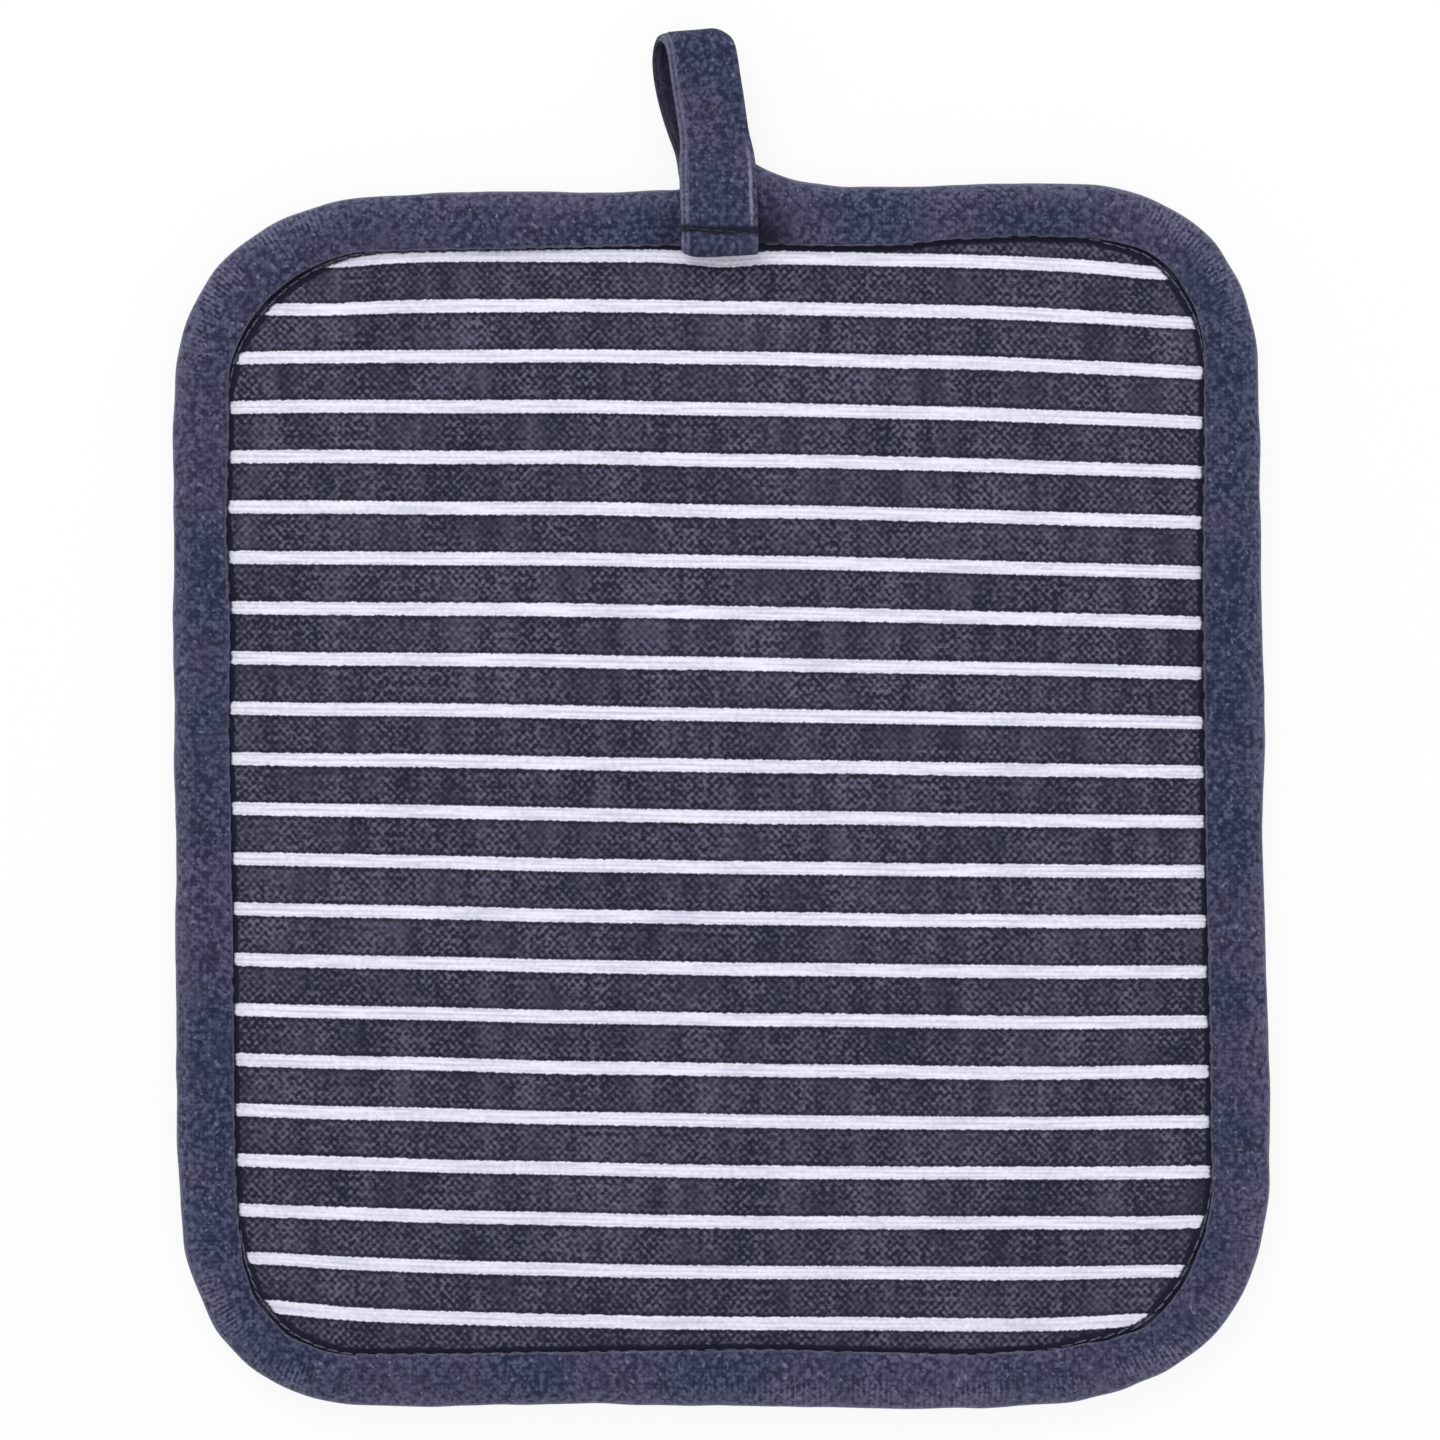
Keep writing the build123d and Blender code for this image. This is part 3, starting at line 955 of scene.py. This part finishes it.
def tapeSection(bm, layer):
    # one ply from the open edge to the fold and the other back again
    half = tape["width"] / 2
    rise = (tape["ply"] + tape["gap"]) / 2
    flat = tape["width"] - tape["ply"] - rise
    chain = bmesh.ops.create_vert(bm, co=(-half + tape["ply"] / 2, 0, rise))["vert"]
    for side in (1, -1):
        for number in range(tape["cells"]):
            point = bmesh.ops.extrude_vert_indiv(bm, verts=[chain[-1]])["verts"][0]
            point.co.x += side * flat / tape["cells"]
            chain.append(point)
        if side > 0:
            foldOver(bm, chain, tape["foldCells"], (chain[-1].co.x, 0, 0), (0, 1, 0), pi)
    length = measured(chain, layer)
    for v in chain:
        fromOpen = v.co.x + half
        puff = tape["puff"] * smooth(2.4 * mm, 6 * mm, fromOpen)
        puff -= tape["pinch"] * bell(fromOpen, tape["seam"], 0.7 * mm)
        v.co.z += puff if v.co.z > 0 else -puff
    return length


def shapeTape(v, paintedShadeLayer, along, across, girth, top, crestX):
    # the shoulders of the far end are rounded off, more on the right of its highest point
    crest = tape["crest"]
    reach = v.co.y - (top - 2.2 * crest)
    beside = max(0.0, crest - min(across, girth - across, abs(across - girth / 2)))
    if reach > 0:
        drop = (0.35 if v.co.x < crestX else 0.7) * beside * beside / crest
        v.co.y -= drop * (reach / (2.2 * crest)) ** 1.5
    # painted shade inside the loop
    inside = smooth(112 * mm, 118 * mm, v.co.y) * (1 - smooth(3.0 * mm, 6.0 * mm, v.co.z))
    v[paintedShadeLayer] = 0.85 * inside
    # the tucked end's corner is folded askew
    if v.co.y < 101.3 * mm:
        v.co.y += 0.55 * max(0.0, -v.co.x - 5 * mm) * (1 - smooth(98.9 * mm, 100.9 * mm, v.co.y))
        v.co.y -= 0.06 * max(0.0, 6 * mm - v.co.x) * (1 - smooth(98.9 * mm, 101.4 * mm, v.co.y))
    # and its tack slopes a little
    v.co.y -= tape["tackSlope"] * v.co.x * bell(v.co.y, tape["tack"], 1.9 * mm)
    rumple = noise.noise(Vector((along / (3.4 * mm), across / (6 * mm), 4)))
    v.co.z += ripple(along, 7 * mm, 21) * 0.22 * mm + rumple * 0.16 * mm
    v.co.x += ripple(along, 11 * mm, 22) * 0.30 * mm
    v.co.z = max(v.co.z, 0.4 * mm)


def loopTape():
    bm = bmesh.new()
    weave = bm.loops.layers.uv.new("weave")
    # the ditch attribute holds painted shade
    paintedShadeLayer = bm.verts.layers.float.new("ditch")
    acrossLayer = bm.verts.layers.float.new("across")
    girth = tapeSection(bm, acrossLayer)
    ring = bm.edges[:]
    verts = bm.verts[:]
    bmesh.ops.transform(bm, verts=verts, matrix=tapePlaces[0])
    at = {v: 0.0 for v in verts}
    for number in range(1, len(tapePlaces)):
        verts, ring = nextRing(bm, ring)
        bmesh.ops.transform(bm, verts=verts, matrix=tapePlaces[number] @ tapePlaces[number - 1].inverted())
        for v in verts:
            at[v] = runs[number]
    for face in bm.faces:
        for loop in face.loops:
            loop[weave].uv = (at[loop.vert], loop.vert[acrossLayer])
    top = max(v.co.y for v in bm.verts)
    crestX = max(route, key=lambda point: point.y).x
    for v in bm.verts:
        shapeTape(v, paintedShadeLayer, at[v], v[acrossLayer], girth, top, crestX)
    bmesh.ops.recalc_face_normals(bm, faces=bm.faces)
    made = newObject("loopTape", bm)
    thicken(made, tape["ply"], levels=1)
    # the modifiers' result becomes the piece's own mesh
    graph = bpy.context.evaluated_depsgraph_get()
    finished = made.evaluated_get(graph)
    mesh = bpy.data.meshes.new_from_object(finished, preserve_all_data_layers=True, depsgraph=graph)
    made.modifiers.clear()
    made.data = mesh
    return made, girth


route = smoothRoute(tapeRoute)
tapePlaces, runs = alongRoute()
loop, tapeGirth = loopTape()
# where along the tape the tack pulls it down, and where its front leg leaves the pad
tackAt = [run for run, point in zip(runs, route) if run > 8 * mm and point.y > tape["tack"] - 0.2 * mm][0]
legEnd = [run for run, point in zip(runs, route) if run > tackAt and point.y > 117 * mm][0]
# painted highlights at both open edges, and a pale line beside the fold that ends with the front leg
loopLines = [
    (0.2 * mm, 0.5 * mm, 0.35, *everywhere),
    (1.15 * mm, 0.5 * mm, 0.3, *everywhere),
    (tapeGirth - 0.2 * mm, 0.5 * mm, 0.35, *everywhere),
    (tapeGirth - 1.15 * mm, 0.5 * mm, 0.3, *everywhere),
    (tapeGirth / 2 - 1.05 * mm, 0.4 * mm, 0.55, tackAt, legEnd),
]
loopWear = (tapeGirth / 2, 1.2 * mm, 0.3)
# painted shade along the tack's crease
loopCreaseShades = [(tackAt - 0.3 * mm, 1.4 * mm, 0.92)]
loop.data.materials.append(chambrayCloth("loopChambray", "uv", loopWear, loopLines, loopCreaseShades))

# the stitching
stitch = {
    "length": 2.5 * mm,
    "pitch": 3.3 * mm,
    "size": 0.42 * mm,
    "flatness": 0.42,
    "seamShare": 0.93,  # the seam's length as a share of the outline's
    "loopLength": 1.7 * mm,
    "loopPitch": 2.6 * mm,
    "loopSize": 0.36 * mm,
    "loopFrom": 109 * mm,  # the loop's seam starts here, up the pad
    "tackLength": 2.0 * mm,
    "tackPitch": 2.5 * mm,
    "tackDrop": 0.22 * mm,  # from each tack stitch to the next one on its right
    "tackRow": 102.7 * mm,
}
up, down = Vector((0, 0, 1)), Vector((0, 0, -1))
navyThread = threadFinish("navyThread", tint(52, 52, 74), tint(104, 103, 128))
# the tack's thread is the same navy thread with painted shade
shadedThread = threadFinish("shadedThread", tint(18, 18, 34), tint(40, 40, 62))


def stitchRow(name, spots, length, size, material):
    # each spot is a point, the direction of the seam there, and the face's normal
    bm = bmesh.new()
    shape = Matrix.Diagonal((length / 2, size / 2, size * stitch["flatness"], 1))
    shape = shape @ Matrix.Rotation(pi / 2, 4, "Y")
    for point, direction, normal in spots:
        side = direction.cross(normal).normalized()
        raised = side.cross(direction).normalized()
        turn = placed(direction, side, raised, point)
        bmesh.ops.create_uvsphere(bm, u_segments=6, v_segments=5, radius=1.0, matrix=turn @ shape)
    bmesh.ops.recalc_face_normals(bm, faces=bm.faces)
    made = newObject(name, bm)
    made.data.materials.append(material)
    return made


def seamSpots(piece, inset, atCorners, start, ray, raised):
    # places all round the ditch or beside it, where a ray from above or below meets the cloth
    surface = surfaceOf(piece)
    count = round(perimeter * stitch["seamShare"] / stitch["pitch"])
    spots = []
    for number in range(count):
        along = perimeter * number / count
        fromDitch = inset + atCorners * roundness(along)
        point, direction = onEdge(along, pad["ditch"] + lipShift(along) + fromDitch)
        spot = handMade(point)
        hit = surface.ray_cast(Vector((spot.x, spot.y, start)), ray)[0]
        if hit:
            spots.append((hit + up * raised, direction, -ray))
    return spots


# in front the thread shows only where the lip pulls back at the corners
ditchSpots = seamSpots(frontCloth, -0.2 * mm, 0.85 * mm, start=50 * mm, ray=down, raised=0.05 * mm)
backSpots = seamSpots(edgeBinding, -2.0 * mm, 0.0, start=-10 * mm, ray=up, raised=0.12 * mm)
ditchStitches = stitchRow("ditchStitches", ditchSpots, stitch["length"], stitch["size"], navyThread)
backStitches = stitchRow("backStitches", backSpots, stitch["length"], stitch["size"], navyThread)

loopTree = surfaceOf(loop)
loopSpots = []
travel = 0.0
for number in range(1, len(tapePlaces) - 1):
    travel += (route[number] - route[number - 1]).length
    if travel > stitch["loopPitch"] and stitch["loopFrom"] < route[number].y:
        travel = 0.0
        overSeam = Vector((-tape["width"] / 2 + tape["seam"], 0, tape["ply"] * 2))
        point, normal = loopTree.find_nearest(tapePlaces[number] @ overSeam)[:2]
        direction = tapePlaces[number].col[1].xyz
        direction = (direction - normal * direction.dot(normal)).normalized()
        loopSpots.append((point + normal * 0.02 * mm, direction, normal))
loopStitches = stitchRow("loopStitches", loopSpots, stitch["loopLength"], stitch["loopSize"], navyThread)

tackSpots = []
tackAlong = Vector((1, -tape["tackSlope"], 0)).normalized()
for number in range(-2, 3):
    spot = Vector((number * stitch["tackPitch"], stitch["tackRow"] - number * stitch["tackDrop"], 50 * mm))
    hit = loopTree.ray_cast(spot, down)[0]
    tackSpots.append((hit + up * 0.02 * mm, tackAlong, up))
tackStitches = stitchRow("tackStitches", tackSpots, stitch["tackLength"], stitch["size"], shadedThread)
print("stitches ready")

# which body each piece rides and which nodes it replaces
for piece in (waddingPad, frontCloth, backCloth, edgeBinding, ditchStitches, backStitches, tackStitches):
    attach(piece, "pad")
for piece in (loop, loopStitches):
    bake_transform(piece, "pad", "loop", start=(0, hinge.y - 2 * mm, hinge.z), end=(0, hinge.y + 4 * mm, hinge.z))
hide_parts("upper_wadding", "lower_wadding")
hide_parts("front_panel")
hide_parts("back_panel")
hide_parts("edge_binding")
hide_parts("ditch_seam_thread")
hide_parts("back_seam_thread")
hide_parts("loop_end", "hanging_loop")
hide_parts("loop_edge_thread")
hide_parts("loop_tack_thread")

# the floor, the light and the camera, which looks straight down
studio = {
    "distance": 729.9 * mm,
    "lens": 100.0,
    "sensor": 36.0,
    "clipStart": 10 * mm,
    "aim": (0.27 * mm, 14.14 * mm, 4.0 * mm),
    "worldStrength": 0.80,
    "floorGlow": 0.86,
    # place, size and power
    "keyLight": ((-0.35, 0.9, 0.8), 0.7, 5.0),
    "fillLight": ((0.7, -0.5, 1.0), 1.0, 2.0),
}


def floorFinish():
    # the floor glows almost white where it is seen, and still takes the shadow
    floor = Finish("paleFloor")
    floor.plug("Base Color", (0.9, 0.9, 0.9, 1))
    floor.plug("Roughness", 0.9)
    straight = floor.node("ShaderNodeLightPath", {}, out="Is Camera Ray")
    glossy = floor.node("ShaderNodeLightPath", {}, out="Is Glossy Ray")
    glow = floor.node("ShaderNodeEmission", {}, (1, 1, 1, 1), 1.0)
    plain = Value(floor, floor.shader.outputs[0])
    both = floor.node("ShaderNodeMixShader", {}, (straight + glossy) * studio["floorGlow"], plain, glow)
    floor.tree.links.new(both.socket, floor.tree.nodes["Material Output"].inputs["Surface"])
    return floor.material


def softLight(name):
    place, size, power = studio[name]
    data = bpy.data.lights.new(name, "AREA")
    data.shape = "SQUARE"
    data.size = size
    data.energy = power
    made = bpy.data.objects.new(name, data)
    made.location = place
    made.rotation_euler = (-Vector(place)).to_track_quat("-Z", "Y").to_euler()
    scene.collection.objects.link(made)


bm = bmesh.new()
bmesh.ops.create_grid(bm, x_segments=1, y_segments=1, size=4.0)
bmesh.ops.translate(bm, verts=bm.verts, vec=(0, 0, -0.05 * mm))
floorPlane = newObject("floor", bm)
floorPlane.data.materials.append(floorFinish())

world = bpy.data.worlds.new("studioAir")
world.use_nodes = True
scene.world = world
air = world.node_tree.nodes["Background"].inputs
air["Color"].default_value = (1, 1, 1, 1)
air["Strength"].default_value = studio["worldStrength"]
softLight("keyLight")
softLight("fillLight")

cameraData = bpy.data.cameras.new("camera")
cameraData.lens = studio["lens"]
cameraData.sensor_width = studio["sensor"]
cameraData.clip_start = studio["clipStart"]
camera = bpy.data.objects.new("camera", cameraData)
camera.location = Vector(studio["aim"]) + Vector((0, 0, studio["distance"]))
scene.collection.objects.link(camera)
scene.camera = camera
scene.view_settings.view_transform = "Standard"

print("scene ready")
